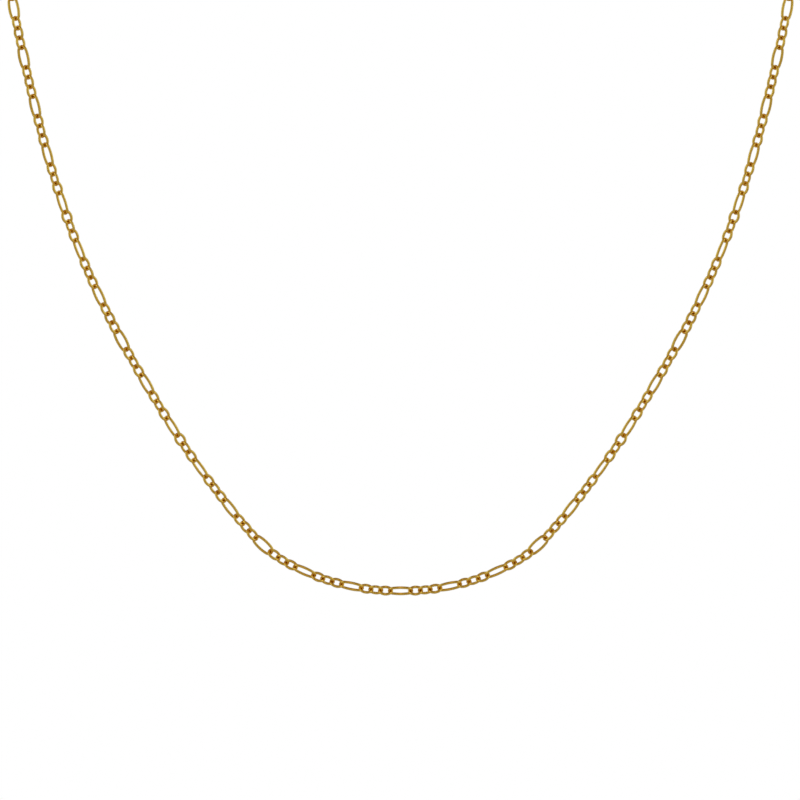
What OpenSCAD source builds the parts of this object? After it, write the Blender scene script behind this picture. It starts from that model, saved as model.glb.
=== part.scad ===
// A fine figaro chain as it hangs round a neck: three short oval links and one long oval link
// in turn, all bent from one round wire, closed at the nape by one plain bolt ring.
// Millimetres. +Z is up, the front of the chain faces -Y and the clasp is at the back.
// The origin is the middle of the opening that the neck fills, level with the tops of the shoulders.

/* [Wire] */
// Diameter of the round wire that every link is bent from
wire_d = 0.42; // [0.34:0.01:0.44]
// Play between two wires that hook into each other
link_play = 0.12; // [0.1:0.01:0.16]

/* [Links] */
// Clear width inside a short link at its middle
short_inner_w = 1.09; // [1:0.01:1.4]
// Clear width inside a long link at its middle
long_inner_w = 1.14; // [1.04:0.01:1.5]
// Length of chain that one short link adds
short_pitch = 1.49; // [1.4:0.01:1.8]
// Length of chain that one long link adds
long_pitch = 3.04; // [2.4:0.01:4]
// How far each link of the lowest groups, which carry the least weight, hangs short of taut
lead_slack = 0.025; // [0:0.005:0.04]
// How far the tight bend at a short link's tip reaches to each side, in degrees
short_tip_reach = 52; // [50:1:64]
// How far the tight bend at a long link's tip reaches to each side, in degrees
long_tip_reach = 78; // [74:1:80]

/* [Pattern] */
// Short links between one long link and the next
short_count = 3; // [1:1:4]
// Groups of short links and a long link on each side of the middle link
groups = 30; // [20:1:30]

/* [Clasp] */
// Outer diameter of the bolt ring
ring_d = 4.9; // [4:0.1:6]
// Diameter of the bolt ring's wire
ring_wire_d = 0.6; // [0.5:0.01:0.62]
// Outer diameter of the small eye at the side of the ring
eye_d = 1.9; // [1.8:0.05:2.4]
// Diameter of the eye's wire
eye_wire_d = 0.5; // [0.4:0.01:0.52]
// Diameter of the thumb stud on the ring
stud_d = 0.5; // [0.4:0.05:0.6]
// How far the thumb stud stands out of the ring's wire
stud_h = 0.5; // [0.3:0.05:0.8]
// Place of the thumb stud round the ring, in degrees from the eye
stud_angle = 60; // [45:5:90]

/* [Hidden] */
$fn = 48;
GOLD = [0.83, 0.68, 0.36];

// Columns of the route: across, back and up from the lowest link, and the bearing of the chain's
// outer side in degrees, 0 to the front, 90 to the wearer's left and 180 to the back
ACROSS = 0;
BACK = 1;
UP = 2;
BEARING = 3;
ROUTE = [
    [0, 0, 0, 0],
    [3.7, 0, 0.15, 0],
    [7.35, 0, 0.7, 0],
    [10.95, 0, 1.6, 0],
    [14.4, 0, 2.95, 0],
    [17.7, 0, 4.6, 0],
    [20.7, 0, 6.85, 0],
    [23.2, 0, 9.6, 0],
    [25.65, 0, 12.5, 0],
    [31.8, 0, 20.8, 0],
    [38.1, 0, 30.95, 0],
    [43.9, 0, 41.5, 0],
    [48.7, 0, 52.4, 0],
    [52.5, 0, 63.8, 0],
    [55.5, 0, 75.4, 0],
    [58, 0, 87.2, 0],
    [59.4, 1.8, 95.6, 12],
    [60.4, 7.4, 101.8, 40],
    [60.7, 15.5, 105.4, 68],
    [59.9, 25.2, 107.6, 90],
    [57.2, 36.1, 109.4, 104],
    [50.8, 47.1, 111, 123],
    [40.5, 56.3, 112.2, 143],
    [27.6, 62.7, 113.2, 158],
    [13.8, 66.2, 113.8, 170],
    [0, 67.3, 114, 180],
];
// The origin, measured along the route's own axes from the lowest link
NECK = [0, 33, 105];
STEPS = 12; // pieces that each span of the route is cut into

// How far each link of a group is turned about the chain, in degrees from lying flat to the
// front. Neighbours are turned opposite ways, so the sign comes from the link's place.
// Columns: the first, middle and last short link, and the long link
FIRST = 0;
MIDDLE = 1;
LAST = 2;
LONG = 3;
SHORTS = [FIRST, MIDDLE, LAST];
MIDDLE_TURN = 51; // the middle link's own
// The first four groups from the middle, which hang unevenly
LEAD_TURNS = [
    [45, 48, 46, 51],
    [46, 48, 46, 51],
    [46, 48, 46, 26],
    [49, 45, 49, 45],
];
// Five groups that the rest of the chain repeats
SIDE_TURNS = [
    [46, 48, 46, 56],
    [45, 52, 35, 50],
    [42, 53, 47, 44],
    [44, 50, 45, 34],
    [44, 40, 50, 45],
];
// Three groups that turn with the chain where it bends back over the shoulder
SHOULDER_TURNS = [
    [43, 49, 45, 38],
    [47, 44, 50, 33],
    [50, 43, 52, 30],
];
SHOULDER = 12; // the first of those groups

group_size = short_count + 1;
side_count = groups * group_size;
ring_r = (ring_d - ring_wire_d) / 2;
eye_r = (eye_d - eye_wire_d) / 2;
// Length of chain that the clasp adds, from where it holds one end link to where it holds the other
clasp_pitch = 2 * (ring_r + eye_r) - (ring_wire_d + link_play) / 2 - (eye_wire_d + link_play) / 2;

function is_long(link) = link % group_size == 0;
function pitch(link) = is_long(link) ? long_pitch : short_pitch;

function group_turns(group) =
    group < len(LEAD_TURNS) ? LEAD_TURNS[group]
    : group >= SHOULDER && group < SHOULDER + len(SHOULDER_TURNS) ? SHOULDER_TURNS[group - SHOULDER]
    : SIDE_TURNS[(group - len(LEAD_TURNS)) % len(SIDE_TURNS)];
function column(link) = is_long(link) ? LONG : SHORTS[(link - 1) % group_size % len(SHORTS)];
function turn_size(link) =
    link == 0 ? MIDDLE_TURN : group_turns(floor((link - 1) / group_size))[column(link)];
function turn(link) = (link % 2 == 0 ? 1 : -1) * turn_size(link);

// The smooth curve through the route's points, from the lowest link to the nape. The other
// side mirrors it, so the points before the first and after the last are mirror images.
function curve(a, b, c, d, t) =
    (2 * b + (c - a) * t + (2 * a - 5 * b + 4 * c - d) * t ^ 2 + (3 * b - a - 3 * c + d) * t ^ 3) / 2;
last_point = len(ROUTE) - 1;
before = [-ROUTE[1][ACROSS], ROUTE[1][BACK], ROUTE[1][UP], -ROUTE[1][BEARING]];
inner = ROUTE[last_point - 1];
after = [-inner[ACROSS], inner[BACK], inner[UP], 360 - inner[BEARING]];
points = [before, each ROUTE, after];
WAY = [
    for (i = [1:last_point], k = [0:STEPS - 1])
        curve(points[i - 1], points[i], points[i + 1], points[i + 2], k / STEPS),
    ROUTE[last_point],
];
function place(point) = [point[ACROSS], point[BACK], point[UP]];
RUN = [
    for (i = 0, run = 0; i < len(WAY);
        i = i + 1, run = run + (i < len(WAY) ? norm(place(WAY[i]) - place(WAY[i - 1])) : 0))
        run
];
BY_RUN = [for (column = [ACROSS:BEARING]) [for (i = [0:len(WAY) - 1]) [RUN[i], WAY[i][column]]]];

// Where each link hooks into the next, as lengths of chain from the middle of the middle link
function slack(link) = link <= len(LEAD_TURNS) * group_size ? lead_slack : 0;
HOOK_RUN = [
    for (link = 0, run = long_pitch / 2; link <= side_count;
        link = link + 1, run = run + pitch(link) - slack(link))
        run
];
half_loop = HOOK_RUN[side_count] + clasp_pitch / 2;
// The loop is as long as the chain, so the route grows and shrinks with it
route_scale = half_loop / RUN[len(RUN) - 1];
function on_route(run, column) = lookup(run / route_scale, BY_RUN[column]);
function on_loop(run) = route_scale * ([for (c = [ACROSS:UP]) on_route(run, c)] - NECK);
HOOKS = [for (run = HOOK_RUN) on_loop(run)];
BEARINGS = [for (run = HOOK_RUN) on_route(run, BEARING)];

function mirrored(point) = [-point[0], point[1], point[2]];
function unit(v) = v / norm(v);

// Puts a piece between two hooks, its length along X, with its Y side turned away from the
// plane that faces outwards at this bearing
module span(from, to, bearing, turned) {
    along = unit(to - from);
    facing = [sin(bearing), -cos(bearing), 0];
    inward = unit(cross(facing, along));
    outward = cross(along, inward);
    wide = cos(turned) * inward + sin(turned) * outward;
    thick = cross(along, wide);
    centre = (from + to) / 2;
    multmatrix([
        [along[0], wide[0], thick[0], centre[0]],
        [along[1], wide[1], thick[1], centre[1]],
        [along[2], wide[2], thick[2], centre[2]],
        [0, 0, 0, 1],
    ]) children();
}

// Moves a piece in two steps, the second for what lies past the third decimal, so that the
// ends of two bends meet face to face
module finely(move) {
    coarse = [for (m = move) round(m * 1000) / 1000];
    translate(coarse) translate(move - coarse) children();
}

// A stretch of round wire bent about the origin
module bend(radius, from, sweep, diameter) {
    rotate_extrude(angle = sweep, start = from) finely([radius, 0]) circle(d = diameter);
}

// A link is an oval of four arcs, long along X and wide along Y: two tight tips run smoothly into
// two shallow sides
module oval_link(pitch, inner_w, tip_reach) {
    half_l = (pitch + wire_d + link_play) / 2;
    half_w = (inner_w + wire_d) / 2;
    radius_step = (half_l - half_w) / (cos(tip_reach) + sin(tip_reach) - 1);
    tip_r = half_l - radius_step * cos(tip_reach);
    side_r = tip_r + radius_step;
    tip_x = half_l - tip_r;
    side_y = half_w - side_r;
    finely([tip_x, 0, 0]) bend(tip_r, -tip_reach, 2 * tip_reach, wire_d);
    finely([-tip_x, 0, 0]) bend(tip_r, 180 - tip_reach, 2 * tip_reach, wire_d);
    finely([0, side_y, 0]) bend(side_r, tip_reach, 180 - 2 * tip_reach, wire_d);
    finely([0, -side_y, 0]) bend(side_r, 180 + tip_reach, 180 - 2 * tip_reach, wire_d);
}

module short_link() {
    oval_link(short_pitch, short_inner_w, short_tip_reach);
}

module long_link() {
    oval_link(long_pitch, long_inner_w, long_tip_reach);
}

module placed_link(n) {
    from = n == 0 ? mirrored(HOOKS[0]) : HOOKS[n - 1];
    bearing = n == 0 ? 0 : (BEARINGS[n - 1] + BEARINGS[n]) / 2;
    span(from, HOOKS[n], bearing, turn(n)) {
        if (is_long(n)) long_link();
        else short_link();
    }
}

module chain_right() {
    color(GOLD) for (n = [0:side_count]) placed_link(n);
}

module chain_left() {
    color(GOLD) mirror([1, 0, 0]) for (n = [1:side_count]) placed_link(n);
}

// The bolt ring lies square to the links that it holds, with its eye towards the left half
module clasp() {
    ring_x = ring_r - (ring_wire_d + link_play + clasp_pitch) / 2;
    color(GOLD) span(HOOKS[side_count], mirrored(HOOKS[side_count]), 180, turn(side_count) - 90)
        translate([ring_x, 0, 0]) {
            bend(ring_r, 0, 360, ring_wire_d);
            translate([ring_r + eye_r, 0, 0]) bend(eye_r, 0, 360, eye_wire_d);
            rotate([0, 0, stud_angle]) translate([ring_r, 0, 0]) rotate([0, 90, 0])
                cylinder(h = ring_wire_d / 2 + stud_h, d = stud_d);
        }
}

chain_right();
chain_left();
clasp();
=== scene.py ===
import math

import bpy
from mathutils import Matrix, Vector


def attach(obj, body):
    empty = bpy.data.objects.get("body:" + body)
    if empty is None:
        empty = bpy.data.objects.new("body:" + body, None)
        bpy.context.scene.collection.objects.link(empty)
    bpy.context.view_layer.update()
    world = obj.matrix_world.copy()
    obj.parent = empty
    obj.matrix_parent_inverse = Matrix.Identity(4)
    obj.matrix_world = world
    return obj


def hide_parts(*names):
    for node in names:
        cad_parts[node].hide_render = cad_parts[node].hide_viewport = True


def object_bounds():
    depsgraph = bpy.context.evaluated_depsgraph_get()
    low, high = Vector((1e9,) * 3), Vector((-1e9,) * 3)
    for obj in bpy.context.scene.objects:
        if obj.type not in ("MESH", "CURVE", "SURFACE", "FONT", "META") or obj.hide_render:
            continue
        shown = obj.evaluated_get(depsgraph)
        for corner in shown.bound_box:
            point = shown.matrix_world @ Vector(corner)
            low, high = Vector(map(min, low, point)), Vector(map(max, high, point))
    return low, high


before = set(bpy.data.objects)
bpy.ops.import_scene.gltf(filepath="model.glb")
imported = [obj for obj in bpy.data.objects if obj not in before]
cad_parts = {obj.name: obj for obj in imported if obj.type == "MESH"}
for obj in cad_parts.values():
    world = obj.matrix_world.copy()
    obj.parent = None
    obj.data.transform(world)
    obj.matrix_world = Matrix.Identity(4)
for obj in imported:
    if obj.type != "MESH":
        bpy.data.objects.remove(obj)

cad_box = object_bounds()

# The chain is a row of links bent from round yellow gold wire, three short ovals and then a long
# one. The wire is drawn through a die, so fine marks run along it. Each link is hooked through the
# one before it and soldered shut at one side, and the finished chain is tumbled bright.

# The chain's route, in metres: across, back and up from the lowest link, then the bearing in
# degrees that its outer side faces, with 0 to the front. The front half hangs in one upright
# plane, and the half that the photo hides goes over the shoulders and round the nape.
ROUTE = [
    (0.00000, 0.0000, 0.00000, 0),
    (0.00370, 0.0000, 0.00015, 0),
    (0.00735, 0.0000, 0.00070, 0),
    (0.01095, 0.0000, 0.00160, 0),
    (0.01440, 0.0000, 0.00295, 0),
    (0.01770, 0.0000, 0.00460, 0),
    (0.02070, 0.0000, 0.00685, 0),
    (0.02320, 0.0000, 0.00960, 0),
    (0.02565, 0.0000, 0.01250, 0),
    (0.03180, 0.0000, 0.02080, 0),
    (0.03810, 0.0000, 0.03095, 0),
    (0.04390, 0.0000, 0.04150, 0),
    (0.04870, 0.0000, 0.05240, 0),
    (0.05250, 0.0000, 0.06380, 0),
    (0.05550, 0.0000, 0.07540, 0),
    (0.05800, 0.0000, 0.08720, 0),
    (0.05940, 0.0018, 0.09560, 12),
    (0.06040, 0.0074, 0.10180, 40),
    (0.06070, 0.0155, 0.10540, 68),
    (0.05990, 0.0252, 0.10760, 90),
    (0.05720, 0.0361, 0.10940, 104),
    (0.05080, 0.0471, 0.11100, 123),
    (0.04050, 0.0563, 0.11220, 143),
    (0.02760, 0.0627, 0.11320, 158),
    (0.01380, 0.0662, 0.11380, 170),
    (0.00000, 0.0673, 0.11400, 180),
]
NECK = Vector((0, 0.033, 0.105))  # the origin, from the lowest link
STEPS = 12  # pieces that each span of the route is cut into


def curve(a, b, c, d, t):
    """A smooth curve from b to c that also heeds the points before and after them."""
    return (
        2 * b + (c - a) * t + (2 * a - 5 * b + 4 * c - d) * t**2 + (3 * b - a - 3 * c + d) * t**3
    ) / 2


def mirrored(point):
    return Vector((-point[0], *point[1:]))


points = [Vector(row) for row in ROUTE]
before = mirrored(points[1])
before[3] = -before[3]
after = mirrored(points[-2])
after[3] = 360 - after[3]
ends = [before, *points, after]
way = [
    curve(*ends[i - 1:i + 3], step / STEPS) for i in range(1, len(points)) for step in range(STEPS)
]
way.append(points[-1])
run = [0.0]
for here, there in zip(way, way[1:]):
    run.append(run[-1] + (there.to_3d() - here.to_3d()).length)


def on_way(length):
    """The place and bearing at this length along the way."""
    i = next(i for i in range(1, len(run)) if run[i] >= length or i == len(run) - 1)
    return way[i - 1].lerp(way[i], (length - run[i - 1]) / (run[i] - run[i - 1]))


# The links' sizes, in metres
WIRE_D = 0.00042
CLEAR_W = {"Short": 0.00109, "Long": 0.00114}  # inside a link, at its middle
ADDS = {"Short": 0.00149, "Long": 0.00304}  # length of chain that a link adds
TIP_REACH = {"Short": math.radians(52), "Long": math.radians(78)}  # of a tight end, to each side
LEAD_SLACK = 0.000025  # how far each link of the lowest groups hangs short of taut
SHORT_COUNT = 3  # short links between two long ones
GROUPS = 30  # on each side of the middle link
CLASP_ADDS = 0.00503  # length of the loop that the clasp closes
WORN_IN = 0.00004  # how far two hooked wires have rubbed into each other
SHADE_SPREAD = 0.5  # how far the painted shade of the joints spreads round the wire, in the wire's radius past its middle line
WIRE_SIDES = 10  # faces round the wire
TIP_POINTS = 9  # along each tight end
SIDE_POINTS = 8  # along each side
WELD = 0.000001  # ends of bends this near to each other become one point
END_WHOLE = 0.95  # how squarely a point faces along its link where it is wholly at the end

# How far each link is turned about the chain, in degrees from lying flat to the front. A row is
# a group: its first, middle and last short link, then its long one.
MIDDLE_TURN = 51  # the middle link's own
# The first groups from the middle, which hang unevenly
LEAD_TURNS = [
    (45, 48, 46, 51),
    (46, 48, 46, 51),
    (46, 48, 46, 26),
    (49, 45, 49, 45),
]
# Groups that the rest of the chain repeats
SIDE_TURNS = [
    (46, 48, 46, 56),
    (45, 52, 35, 50),
    (42, 53, 47, 44),
    (44, 50, 45, 34),
    (44, 40, 50, 45),
]
# Groups that turn with the chain where it bends back over the shoulder
SHOULDER_TURNS = [
    (43, 49, 45, 38),
    (47, 44, 50, 33),
    (50, 43, 52, 30),
]
SHOULDER = 12  # the first of those groups

group_size = SHORT_COUNT + 1
side_count = GROUPS * group_size


def kind_of(link):
    return "Short" if link % group_size else "Long"


def turn(link):
    """How far this link is turned about the chain. Neighbours are turned opposite ways."""
    size = MIDDLE_TURN
    if link > 0:
        group, place = divmod(link - 1, group_size)
        if group < len(LEAD_TURNS):
            size = LEAD_TURNS[group][place]
        elif SHOULDER <= group < SHOULDER + len(SHOULDER_TURNS):
            size = SHOULDER_TURNS[group - SHOULDER][place]
        else:
            size = SIDE_TURNS[(group - len(LEAD_TURNS)) % len(SIDE_TURNS)][place]
    return math.radians(size if link % 2 == 0 else -size)


hook_run = [ADDS["Long"] / 2]
for link in range(1, side_count + 1):
    slack = LEAD_SLACK if link <= len(LEAD_TURNS) * group_size else 0
    hook_run.append(hook_run[-1] + ADDS[kind_of(link)] - slack)
loop_scale = (hook_run[-1] + CLASP_ADDS / 2) / run[-1]
hooks = []
for length in hook_run:
    at = on_way(length / loop_scale)
    hooks.append(((at.to_3d() - NECK) * loop_scale, at[3]))


def link_place(link):
    """Where a link of the right half lies: its middle, its long way and its wide way."""
    end, end_bearing = hooks[link]
    start, start_bearing = hooks[link - 1] if link else (mirrored(end), 0)
    along = (end - start).normalized()
    bearing = math.radians((start_bearing + end_bearing) / 2)
    facing = Vector((math.sin(bearing), -math.cos(bearing), 0))
    inward = facing.cross(along).normalized()
    outward = along.cross(inward)
    wide = inward * math.cos(turn(link)) + outward * math.sin(turn(link))
    return (start + end) / 2, along, wide


def add(tree, kind, **inputs):
    """A node with its inputs set or linked by name, or as i0, i1 by place. set_ names a setting."""
    node = tree.nodes.new(kind)
    for name, value in inputs.items():
        if name.startswith("set_"):
            setattr(node, name[4:], value)
    for name, value in inputs.items():
        if name.startswith("set_"):
            continue
        by_place = name[0] == "i" and name[1:].isdigit()
        socket = node.inputs[int(name[1:]) if by_place else name.replace("_", " ")]
        if isinstance(value, bpy.types.NodeSocket):
            tree.links.new(value, socket)
        else:
            socket.default_value = value
    return node


def maths(tree, operation, *values):
    by_place = {f"i{place}": value for place, value in enumerate(values)}
    return add(tree, "ShaderNodeMath", set_operation=operation, **by_place).outputs[0]


def keep(tree, geometry, name, kind, value):
    """Stores a value on the geometry's points, for the finish to read."""
    stored = add(tree, "GeometryNodeStoreNamedAttribute", set_data_type=kind, Geometry=geometry,
                 Name=name, Value=value)
    return stored.outputs[0]


OWN_SIZES = ("Adds", "Clear Width", "Tip Reach")  # which a short link and a long one each have
WIRE_SIZES = ("Wire Diameter", "Worn In", "Shade Spread")
COUNTS = ("Wire Sides", "Tip Points", "Side Points")


def take(tree, kind, *names):
    """Gives the tree inputs of one kind with these names."""
    for name in names:
        tree.interface.new_socket(name, in_out="INPUT", socket_type="NodeSocket" + kind)


def link_tree():
    """One oval link of four bends: two tight tips that run smoothly into two shallow sides."""
    tree = bpy.data.node_groups.new("bend_link", "GeometryNodeTree")
    take(tree, "Float", *OWN_SIZES, *WIRE_SIZES)
    take(tree, "Int", *COUNTS)
    tree.interface.new_socket("Link", in_out="OUTPUT", socket_type="NodeSocketGeometry")
    given = tree.nodes.new("NodeGroupInput").outputs
    reach = given["Tip Reach"]
    wire_d = given["Wire Diameter"]
    half_l = maths(tree, "SUBTRACT", maths(tree, "ADD", given["Adds"], wire_d), given["Worn In"])
    half_l = maths(tree, "MULTIPLY", half_l, 0.5)
    half_w = maths(tree, "MULTIPLY", maths(tree, "ADD", given["Clear Width"], wire_d), 0.5)
    cosine = maths(tree, "COSINE", reach)
    both = maths(tree, "SUBTRACT", maths(tree, "ADD", cosine, maths(tree, "SINE", reach)), 1.0)
    step = maths(tree, "DIVIDE", maths(tree, "SUBTRACT", half_l, half_w), both)
    tip_r = maths(tree, "SUBTRACT", half_l, maths(tree, "MULTIPLY", step, cosine))
    side_r = maths(tree, "ADD", tip_r, step)
    tip_x = maths(tree, "SUBTRACT", half_l, tip_r)
    side_y = maths(tree, "SUBTRACT", half_w, side_r)
    tip_sweep = maths(tree, "MULTIPLY", reach, 2.0)
    side_sweep = maths(tree, "SUBTRACT", math.pi, tip_sweep)
    tip_start = maths(tree, "MULTIPLY", reach, -1.0)
    half = tree.nodes.new("GeometryNodeJoinGeometry")
    for radius, count, start, sweep, x, y in (
        (tip_r, given["Tip Points"], tip_start, tip_sweep, tip_x, 0.0),
        (side_r, given["Side Points"], reach, side_sweep, 0.0, side_y),
    ):
        arc = add(tree, "GeometryNodeCurveArc", set_mode="RADIUS", Resolution=count, Radius=radius,
                  Start_Angle=start, Sweep_Angle=sweep)
        to = add(tree, "ShaderNodeCombineXYZ", X=x, Y=y)
        bend = add(tree, "GeometryNodeTransform", Geometry=arc.outputs[0], Translation=to.outputs[0])
        tree.links.new(bend.outputs[0], half.inputs[0])
    line = add(tree, "GeometryNodeCurveToMesh", Curve=half.outputs[0])
    other = add(tree, "GeometryNodeTransform", Geometry=line.outputs[0], Rotation=(0, 0, math.pi))
    whole = tree.nodes.new("GeometryNodeJoinGeometry")
    tree.links.new(line.outputs[0], whole.inputs[0])
    tree.links.new(other.outputs[0], whole.inputs[0])
    closed = add(tree, "GeometryNodeMergeByDistance", Geometry=whole.outputs[0], Distance=WELD)
    ring = add(tree, "GeometryNodeMeshToCurve", Mesh=closed.outputs[0])
    ring = add(tree, "GeometryNodeSetCurveNormal", set_mode="Z_UP", Curve=ring.outputs[0])
    length = add(tree, "GeometryNodeSplineParameter").outputs["Length"]
    ring = keep(tree, ring.outputs[0], "along_wire", "FLOAT", length)
    wire_r = maths(tree, "MULTIPLY", wire_d, 0.5)
    section = add(tree, "GeometryNodeCurvePrimitiveCircle", Resolution=given["Wire Sides"],
                  Radius=wire_r)
    place = add(tree, "GeometryNodeInputPosition").outputs[0]
    section = keep(tree, section.outputs[0], "round_wire", "FLOAT_VECTOR", place)
    swept = add(tree, "GeometryNodeCurveToMesh", Curve=ring, Profile_Curve=section)
    link = keep(tree, swept.outputs[0], "in_link", "FLOAT_VECTOR", place)
    # How far each point lies into a tight end, and towards its inner side, where the next link hooks
    # and the joint's shade is painted
    split = add(tree, "ShaderNodeSeparateXYZ", i0=place)
    past = maths(tree, "SUBTRACT", maths(tree, "ABSOLUTE", split.outputs["X"]), tip_x)
    spoke = maths(tree, "SQRT", maths(tree, "ADD", maths(tree, "MULTIPLY", past, past),
                                      maths(tree, "POWER", split.outputs["Y"], 2.0)))
    inner = maths(tree, "DIVIDE", maths(tree, "SUBTRACT", tip_r, spoke), wire_r)
    ahead = add(tree, "ShaderNodeMapRange", set_interpolation_type="SMOOTHSTEP",
                Value=maths(tree, "DIVIDE", past, spoke), From_Min=0.0, From_Max=END_WHOLE)
    inner = maths(tree, "MAXIMUM", maths(tree, "ADD", inner, given["Shade Spread"]), 0.0)
    joint_shade = maths(tree, "MULTIPLY", inner, ahead.outputs[0])
    link = keep(tree, link, "joint_shade", "FLOAT", joint_shade)
    link = keep(tree, link, "at_end", "FLOAT", ahead.outputs[0])
    add(tree, "NodeGroupOutput", Link=link)
    return tree


def chain_tree():
    """Sets a short or a long link at each place and makes them one mesh."""
    bend_link = link_tree()
    tree = bpy.data.node_groups.new("hang_links", "GeometryNodeTree")
    take(tree, "Geometry", "Places")
    take(tree, "Float", *WIRE_SIZES)
    for kind in ("Short", "Long"):
        take(tree, "Float", *(kind + " " + name for name in OWN_SIZES))
    take(tree, "Int", *COUNTS, "Seed")
    take(tree, "Material", "Gold")
    tree.interface.new_socket("Chain", in_out="OUTPUT", socket_type="NodeSocketGeometry")
    given = tree.nodes.new("NodeGroupInput").outputs
    kinds = tree.nodes.new("GeometryNodeJoinGeometry")
    # A join lists the last link made first, so the short one ends up as number 0.
    for kind in ("Long", "Short"):
        bent = tree.nodes.new("GeometryNodeGroup")
        bent.node_tree = bend_link
        for name in (*WIRE_SIZES, *COUNTS):
            tree.links.new(given[name], bent.inputs[name])
        for name in OWN_SIZES:
            tree.links.new(given[kind + " " + name], bent.inputs[name])
        one = add(tree, "GeometryNodeGeometryToInstance", Geometry=bent.outputs[0])
        tree.links.new(one.outputs[0], kinds.inputs[0])
    along = add(tree, "GeometryNodeInputNamedAttribute", set_data_type="FLOAT_VECTOR", Name="along")
    wide = add(tree, "GeometryNodeInputNamedAttribute", set_data_type="FLOAT_VECTOR", Name="wide")
    which = add(tree, "GeometryNodeInputNamedAttribute", set_data_type="INT", Name="long")
    turned = add(tree, "FunctionNodeAxesToRotation", set_primary_axis="X", set_secondary_axis="Y",
                 i0=along.outputs[0], i1=wide.outputs[0])
    placed = add(tree, "GeometryNodeInstanceOnPoints", Points=given["Places"],
                 Instance=kinds.outputs[0], Pick_Instance=True, Instance_Index=which.outputs[0],
                 Rotation=turned.outputs[0])
    # Each link draws a number of its own, from the node's second output.
    drawn = add(tree, "FunctionNodeRandomValue", set_data_type="FLOAT", Seed=given["Seed"])
    marked = add(tree, "GeometryNodeStoreNamedAttribute", set_data_type="FLOAT",
                 set_domain="INSTANCE", Geometry=placed.outputs[0], Name="own_number",
                 Value=drawn.outputs[1])
    real = add(tree, "GeometryNodeRealizeInstances", Geometry=marked.outputs[0])
    smooth = add(tree, "GeometryNodeSetShadeSmooth", Geometry=real.outputs[0])
    gilt = add(tree, "GeometryNodeSetMaterial", Geometry=smooth.outputs[0], Material=given["Gold"])
    add(tree, "NodeGroupOutput", Chain=gilt.outputs[0])
    return tree


def polished_gold(name):
    """Plain polished yellow gold, to which each piece adds its own marks."""
    gold = bpy.data.materials.new(name)
    gold.use_nodes = True
    shader = gold.node_tree.nodes["Principled BSDF"]
    shader.inputs["Metallic"].default_value = 1.0
    return gold, gold.node_tree, shader


def blend(tree, share, first, second):
    """A colour that goes from the first to the second as the share goes from 0 to 1."""
    # The node's colour sockets come after those for numbers and vectors.
    node = add(tree, "ShaderNodeMix", set_data_type="RGBA", i0=share, i6=first, i7=second)
    return node.outputs[2]


NOISE_DETAIL = 2.0  # finer layers of each pattern


def noise(tree, vector, feature):
    """Noise from 0 to 1 whose blotches are about this many metres across."""
    node = add(tree, "ShaderNodeTexNoise", Vector=vector, Scale=1 / feature, Detail=NOISE_DETAIL)
    return node.outputs[0]


GOLD = (0.93, 0.675, 0.135, 1)
DEEP_GOLD = (0.91, 0.64, 0.115, 1)  # in its cloudy patches
SOLDER = (0.9, 0.68, 0.3, 1)
SHADED_END_GOLD = (0.89, 0.575, 0.085, 1)  # painted shade: a deeper, more orange gold over the tight ends, where the links hook
PAINTED_JOINT_SHADE = (0.66, 0.31, 0.035, 1)  # painted shade on the inner side of a link's ends, where the next link hooks
PATTERN_SHIFT = 0.05  # the farthest that a link's patterns are moved, so that no two are alike
MARK_STRETCH = 40  # how much longer than wide a drawn mark is
MARK_W = 0.00003  # width of a drawn mark
MARK_H = 0.0000008  # and its depth
DENT_W = 0.0005  # width of a dent from the tumbling
DENT_H = 0.00001
CLOUD_W = 0.0012  # width of a cloudy patch
CLOUD_SHARE = 0.8  # of the deeper gold, at the most
SEAM_X = 0.00012  # from the middle of the link's side
SEAM_W = 0.000035
SEAM_H = 0.000001
SEAM_SHARE = 0.55  # of the solder's colour
SHADE_LEAST = 0.15  # of the painted shade's colour, in the link with the least
SHADE_MOST = 0.7  # in the link with the most
# Roughness of the polished gold, and what each kind of mark adds to it
ROUGH = 0.12
ROUGH_MARKS = 0.1
ROUGH_SEAM = 0.1
ROUGH_IN_JOINT = 0.3


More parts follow.
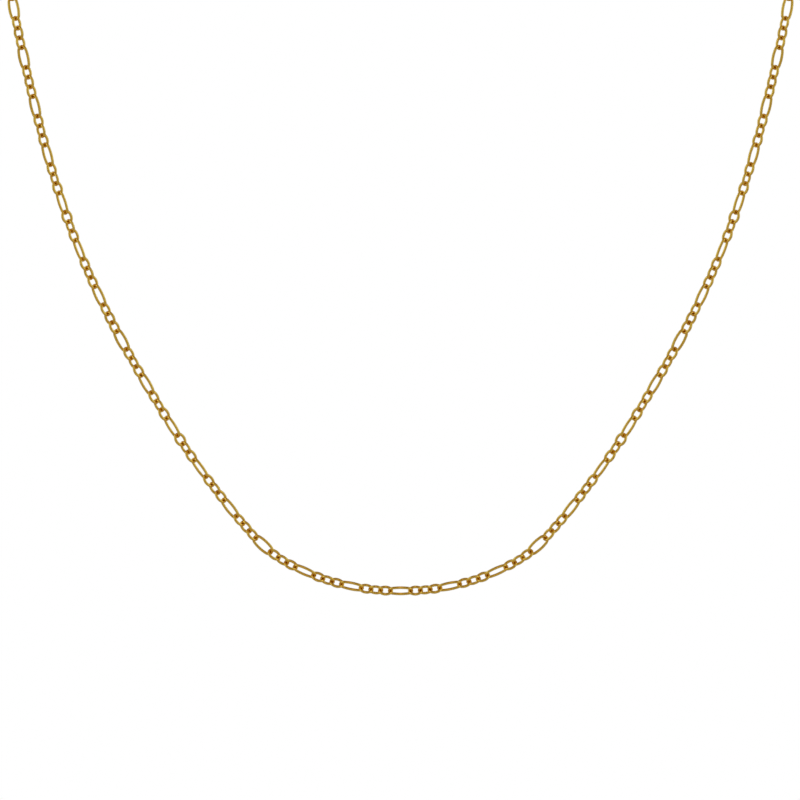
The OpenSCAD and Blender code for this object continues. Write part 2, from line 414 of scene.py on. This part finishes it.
def link_gold():
    gold, tree, shader = polished_gold("link_gold")
    along = add(tree, "ShaderNodeAttribute", set_attribute_name="along_wire").outputs["Fac"]
    round_wire = add(tree, "ShaderNodeAttribute", set_attribute_name="round_wire").outputs["Vector"]
    in_link = add(tree, "ShaderNodeAttribute", set_attribute_name="in_link").outputs["Vector"]
    joint_shade = add(tree, "ShaderNodeAttribute", set_attribute_name="joint_shade").outputs["Fac"]
    at_end = add(tree, "ShaderNodeAttribute", set_attribute_name="at_end").outputs["Fac"]
    own = add(tree, "ShaderNodeAttribute", set_attribute_name="own_number").outputs["Fac"]

    # Each link starts at its own place in the patterns.
    apart = add(tree, "ShaderNodeCombineXYZ", X=maths(tree, "MULTIPLY", own, PATTERN_SHIFT))
    apart = apart.outputs[0]
    stretched = add(tree, "ShaderNodeCombineXYZ", X=maths(tree, "DIVIDE", along, MARK_STRETCH))
    place = add(tree, "ShaderNodeVectorMath", set_operation="ADD", i0=round_wire,
                i1=stretched.outputs[0])
    place = add(tree, "ShaderNodeVectorMath", set_operation="ADD", i0=place.outputs[0], i1=apart)
    marks = noise(tree, place.outputs[0], MARK_W)
    body = add(tree, "ShaderNodeVectorMath", set_operation="ADD", i0=in_link, i1=apart)
    dents = noise(tree, body.outputs[0], DENT_W)
    cloud = noise(tree, body.outputs[0], CLOUD_W)
    height = maths(tree, "ADD", maths(tree, "MULTIPLY", marks, MARK_H),
                   maths(tree, "MULTIPLY", dents, DENT_H))

    # The solder shows at one side as a thin, paler line across the wire.
    split = add(tree, "ShaderNodeSeparateXYZ", i0=in_link)
    off = maths(tree, "ABSOLUTE", maths(tree, "SUBTRACT", split.outputs["X"], SEAM_X))
    line = add(tree, "ShaderNodeMapRange", set_interpolation_type="SMOOTHSTEP", Value=off,
               From_Min=SEAM_W / 2, From_Max=SEAM_W, To_Min=1.0, To_Max=0.0)
    seam = maths(tree, "MULTIPLY", line.outputs[0],
                 maths(tree, "GREATER_THAN", split.outputs["Y"], 0.0))
    height = maths(tree, "ADD", height, maths(tree, "MULTIPLY", seam, SEAM_H))
    bump = add(tree, "ShaderNodeBump", Strength=1.0, Distance=1.0, Height=height)
    tree.links.new(bump.outputs[0], shader.inputs["Normal"])

    # Painted shade: the inner side of each link's ends, where the next link hooks, is darkened
    # towards deep brown, more in some links than in others, and made rougher.
    shade_strength = add(tree, "ShaderNodeMapRange", Value=own, To_Min=SHADE_LEAST, To_Max=SHADE_MOST)
    painted_shade = maths(tree, "MINIMUM", maths(tree, "MULTIPLY", joint_shade, shade_strength.outputs[0]), 1.0)
    colour = blend(tree, maths(tree, "MULTIPLY", cloud, CLOUD_SHARE), GOLD, DEEP_GOLD)
    # Painted shade: the tight ends, where the links hook, are a deeper, more orange gold.
    colour = blend(tree, at_end, colour, SHADED_END_GOLD)
    colour = blend(tree, maths(tree, "MULTIPLY", seam, SEAM_SHARE), colour, SOLDER)
    colour = blend(tree, painted_shade, colour, PAINTED_JOINT_SHADE)
    tree.links.new(colour, shader.inputs["Base Color"])
    rough = maths(tree, "ADD", ROUGH, maths(tree, "MULTIPLY", marks, ROUGH_MARKS))
    rough = maths(tree, "ADD", rough, maths(tree, "MULTIPLY", seam, ROUGH_SEAM))
    rough = maths(tree, "ADD", rough, maths(tree, "MULTIPLY", painted_shade, ROUGH_IN_JOINT))
    tree.links.new(rough, shader.inputs["Roughness"])
    return gold


def hang_half(name, links, flip, tree, gold):
    """Hangs these links as one piece, as they are or as in a mirror."""
    places = [link_place(link) for link in links]
    turned = [[mirrored(v) if flip else v for v in place] for place in places]
    mesh = bpy.data.meshes.new(name)
    mesh.from_pydata([place[0] for place in turned], [], [])
    for column, attribute in ((1, "along"), (2, "wide")):
        values = mesh.attributes.new(attribute, "FLOAT_VECTOR", "POINT")
        for item, place in zip(values.data, turned):
            item.vector = place[column]
    longs = mesh.attributes.new("long", "INT", "POINT")
    for item, link in zip(longs.data, links):
        item.value = int(kind_of(link) == "Long")
    half = bpy.data.objects.new(name, mesh)
    bpy.context.collection.objects.link(half)
    nodes = half.modifiers.new("links", "NODES")
    nodes.node_group = tree
    sizes = {"Wire Diameter": WIRE_D, "Worn In": WORN_IN, "Shade Spread": SHADE_SPREAD,
             "Wire Sides": WIRE_SIDES, "Tip Points": TIP_POINTS, "Side Points": SIDE_POINTS,
             "Seed": int(flip), "Gold": gold}
    for kind in ("Short", "Long"):
        sizes[kind + " Adds"] = ADDS[kind]
        sizes[kind + " Clear Width"] = CLEAR_W[kind]
        sizes[kind + " Tip Reach"] = TIP_REACH[kind]
    for socket in tree.interface.items_tree:
        if socket.name in sizes:
            nodes[socket.identifier] = sizes[socket.name]
    bpy.context.view_layer.update()
    solid = bpy.data.meshes.new_from_object(half.evaluated_get(bpy.context.evaluated_depsgraph_get()))
    half.modifiers.clear()
    half.data = solid
    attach(half, "root")
    return half


chain = chain_tree()
links_gold = link_gold()
right = hang_half("links_right", range(side_count + 1), False, chain, links_gold)
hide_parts("chain_right")
left = hang_half("links_left", range(1, side_count + 1), True, chain, links_gold)
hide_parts("chain_left")

# The clasp is a plain bolt ring of heavier wire at the nape, with a small eye for the left
# half's end link and a stud for the thumb. It is polished like the links.
CLASP_DENT_W = 0.0008
CLASP_DENT_H = 0.000006
SMUDGE_W = 0.0004  # of the patches where the polish is less bright


def clasp_gold():
    gold, tree, shader = polished_gold("clasp_gold")
    place = add(tree, "ShaderNodeTexCoord").outputs["Object"]
    dents = noise(tree, place, CLASP_DENT_W)
    bump = add(tree, "ShaderNodeBump", Strength=1.0, Distance=1.0,
               Height=maths(tree, "MULTIPLY", dents, CLASP_DENT_H))
    tree.links.new(bump.outputs[0], shader.inputs["Normal"])
    colour = blend(tree, maths(tree, "MULTIPLY", dents, CLOUD_SHARE), GOLD, DEEP_GOLD)
    tree.links.new(colour, shader.inputs["Base Color"])
    smudge = noise(tree, place, SMUDGE_W)
    rough = maths(tree, "ADD", ROUGH, maths(tree, "MULTIPLY", smudge, ROUGH_MARKS))
    tree.links.new(rough, shader.inputs["Roughness"])
    return gold


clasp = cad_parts["clasp"]
clasp.data.materials.clear()
clasp.data.materials.append(clasp_gold())

# The room: a pale floor well under the chain, and a soft surround with the light of lamps that
# stand round it, so that the polished wire shows its roundness. The light from both sides is
# white and strong, and the rest is dimmer and warm.
FLOOR_DROP = 0.35  # under the lowest link
FLOOR_R = 4.5
FLOOR_STEP = 5  # degrees between two corners of its rim
FLOOR_PAINT = (0.9, 0.9, 0.89, 1)
FLOOR_ROUGH = 0.8
SEEN_FLOOR = (0.86, 0.86, 0.85, 1)
SEEN_ROOM = (1, 1, 1, 1)
LAMPS = 6
LAMP_FADE = 2.0  # how fast a lamp's glow falls off to its sides
LAMP_GLOW = 0.6
ROOM_GLOW = 0.3
SIDE_LIGHT = (1.52, 1.55, 1.55, 1)
WARM_LIGHT = (0.78, 0.575, 0.355, 1)
WARM_TO = 0.3  # how far to the side the warm light reaches, as a sine
WHITE_FROM = 0.8  # and where the white light is whole


def seen_apart(tree, lit, seen):
    """What lights the chain like the first of these and shows in the picture as the second."""
    path = add(tree, "ShaderNodeLightPath")
    return add(tree, "ShaderNodeMixShader", i0=path.outputs["Is Camera Ray"], i1=lit.outputs[0],
               i2=seen.outputs[0])


floor_mesh = bpy.data.meshes.new("floor")
rim = [math.radians(angle) for angle in range(0, 360, FLOOR_STEP)]
floor_z = cad_box[0].z - FLOOR_DROP
floor_mesh.from_pydata([(FLOOR_R * math.cos(a), FLOOR_R * math.sin(a), floor_z) for a in rim], [],
                       [range(len(rim))])
floor = bpy.data.objects.new("floor", floor_mesh)
bpy.context.collection.objects.link(floor)
pale = bpy.data.materials.new("pale_floor")
pale.use_nodes = True
tree = pale.node_tree
matt = tree.nodes["Principled BSDF"]
matt.inputs["Base Color"].default_value = FLOOR_PAINT
matt.inputs["Roughness"].default_value = FLOOR_ROUGH
mix = seen_apart(tree, matt, add(tree, "ShaderNodeEmission", Color=SEEN_FLOOR, Strength=1.0))
tree.links.new(mix.outputs[0], tree.nodes["Material Output"].inputs["Surface"])
floor_mesh.materials.append(pale)

surround = bpy.data.worlds.new("surround")
bpy.context.scene.world = surround
surround.use_nodes = True
tree = surround.node_tree
tree.nodes.clear()
direction = add(tree, "ShaderNodeTexCoord").outputs["Generated"]
split = add(tree, "ShaderNodeSeparateXYZ", i0=direction)
bearing = maths(tree, "ARCTAN2", split.outputs["X"], split.outputs["Y"])
wave = maths(tree, "COSINE", maths(tree, "MULTIPLY", bearing, float(LAMPS)))
wave = maths(tree, "POWER", maths(tree, "MAXIMUM", wave, 0.0), LAMP_FADE)
glow = maths(tree, "ADD", maths(tree, "MULTIPLY", wave, LAMP_GLOW), ROOM_GLOW)
aside = add(tree, "ShaderNodeMapRange", set_interpolation_type="SMOOTHSTEP",
            Value=maths(tree, "ABSOLUTE", split.outputs["X"]), From_Min=WARM_TO,
            From_Max=WHITE_FROM)
tint = blend(tree, aside.outputs[0], WARM_LIGHT, SIDE_LIGHT)
lit = add(tree, "ShaderNodeBackground", Color=tint, Strength=glow)
seen = add(tree, "ShaderNodeBackground", Color=SEEN_ROOM, Strength=1.0)
mix = seen_apart(tree, lit, seen)
add(tree, "ShaderNodeOutputWorld", Surface=mix.outputs[0])
bpy.context.scene.view_settings.view_transform = "Standard"

# The camera looks level and square at the plane in which the front of the chain hangs, from
# far enough for the links to keep one size.
PICTURE_W = 0.12  # of that plane, across the picture
PICTURE_MIDDLE = 0.02864  # above the lowest link's middle line
PICTURE_SIDE = -0.00008  # of the middle link's middle
CAMERA_BACK = 1.0
SENSOR = 36.0  # in millimetres, as cameras give it
camera = bpy.data.cameras.new("camera")
camera.sensor_width = SENSOR
camera.lens = SENSOR * CAMERA_BACK / PICTURE_W
viewer = bpy.data.objects.new("camera", camera)
lowest = -NECK * loop_scale
viewer.location = (PICTURE_SIDE, lowest.y - CAMERA_BACK, lowest.z + PICTURE_MIDDLE)
viewer.rotation_euler = (math.radians(90), 0, 0)
bpy.context.collection.objects.link(viewer)
bpy.context.scene.camera = viewer
